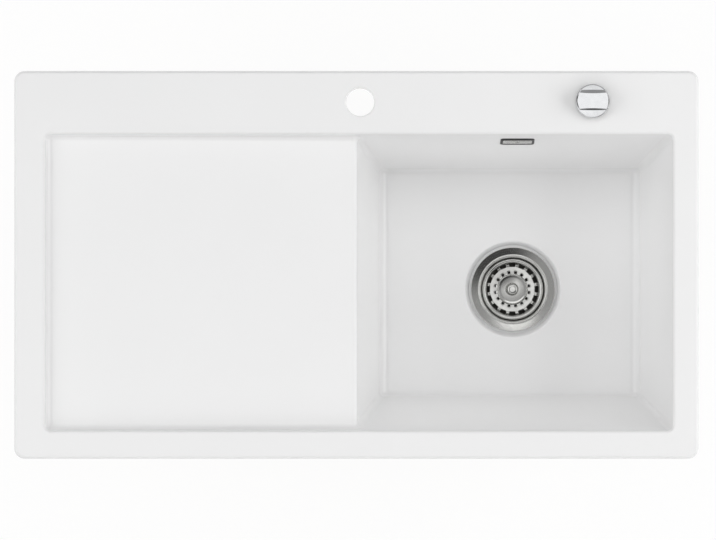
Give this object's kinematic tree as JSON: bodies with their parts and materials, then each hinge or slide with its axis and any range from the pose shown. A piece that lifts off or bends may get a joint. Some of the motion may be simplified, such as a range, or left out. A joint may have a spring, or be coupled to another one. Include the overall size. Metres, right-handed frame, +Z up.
{
  "type": "ceramic inset sink",
  "caption": "White glazed ceramic inset sink with a drainer, a square bowl, a tap hole, an overflow and a basket waste opened by a rotary knob.",
  "frame": {"origin": "middle of the sink's outline, on the rim's underside, which is the worktop's surface", "axes": "+X along the sink from the drainer to the bowl, +Y to the rear ledge, +Z up"},
  "size_m": [0.9, 0.51, 0.3384],
  "materials": {
    "glazed_ceramic": "white gloss glaze",
    "polished_steel": "polished stainless steel",
    "chrome_plate": "polished chrome plate",
    "black_rubber": "matt moulded rubber",
    "grey_plastic": "satin moulded polypropylene",
    "black_plastic": "satin moulded nylon",
    "brass": "turned brass",
    "zinc_steel": "zinc plated steel"
  },
  "bodies": {
    "sink": {"cable_bracket": "zinc_steel", "cable_ferrule": "zinc_steel", "cable_sleeve": "black_plastic", "cable_wire": "zinc_steel", "cap_screws": "zinc_steel", "clamp_screw": "brass", "control_body": "black_plastic", "control_cap": "black_plastic", "control_gasket": "black_rubber", "control_nut": "black_plastic", "control_washer": "black_rubber", "flange_gasket": "black_rubber", "gland_nut": "grey_plastic", "lower_pipe_nut": "grey_plastic", "lower_pipe_seal": "black_rubber", "overflow_cover": "polished_steel", "overflow_elbow": "grey_plastic", "overflow_gasket": "black_rubber", "overflow_pipe": "grey_plastic", "overflow_screw": "polished_steel", "pot_gasket": "black_rubber", "shaft_bush": "grey_plastic", "shaft_seal": "black_rubber", "sink_body": "glazed_ceramic", "upper_pipe_nut": "grey_plastic", "upper_pipe_seal": "black_rubber", "waste_body": "grey_plastic", "waste_flange": "polished_steel"},
    "knob": {"control_knob": "chrome_plate", "control_spindle": "brass", "knob_grub_screw": "zinc_steel"},
    "slider": {"pull_slider": "black_plastic", "slider_wire": "zinc_steel"},
    "wire": {"wire_end": "zinc_steel"},
    "crank": {"crank_shaft": "zinc_steel", "lift_finger": "zinc_steel", "crank_arm": "black_plastic"},
    "pin": {"lift_pin": "zinc_steel"},
    "basket": {"strainer_basket": "polished_steel", "basket_seal": "black_rubber", "basket_knob": "polished_steel", "basket_socket": "brass"}
  },
  "joints": [
    {"name": "knob_turn", "type": "hinge", "parent": "sink", "child": "knob", "pos_m": [0.31, 0.215, 0.018], "axis": [0, 0, 1], "range_deg": [0, 90]},
    {"name": "slider_rise", "type": "slide", "parent": "sink", "child": "slider", "axis": [0, 0, 1], "range_m": [0, 0.008]},
    {"name": "wire_pull", "type": "slide", "parent": "sink", "child": "wire", "axis": [0, 1, 0], "range_m": [0, 0.008]},
    {"name": "crank_swing", "type": "hinge", "parent": "sink", "child": "crank", "pos_m": [0.213, -0.04642, -0.253], "axis": [1, 0, 0], "range_deg": [0, 33.2]},
    {"name": "pin_rise", "type": "slide", "parent": "sink", "child": "pin", "axis": [0, 0, 1], "range_m": [0, 0.008]},
    {"name": "basket_lift", "type": "slide", "parent": "pin", "child": "basket", "axis": [0, 0, 1], "range_m": [0, 0.2]}
  ],
  "couplings": [
    {"joint": "slider_rise", "follows": "knob_turn", "m_per_rad": 0.0050929},
    {"joint": "wire_pull", "follows": "knob_turn", "m_per_rad": 0.0050929},
    {"joint": "crank_swing", "follows": "knob_turn", "ratio": 0.36892},
    {"joint": "pin_rise", "follows": "knob_turn", "m_per_rad": 0.0050929}
  ]
}
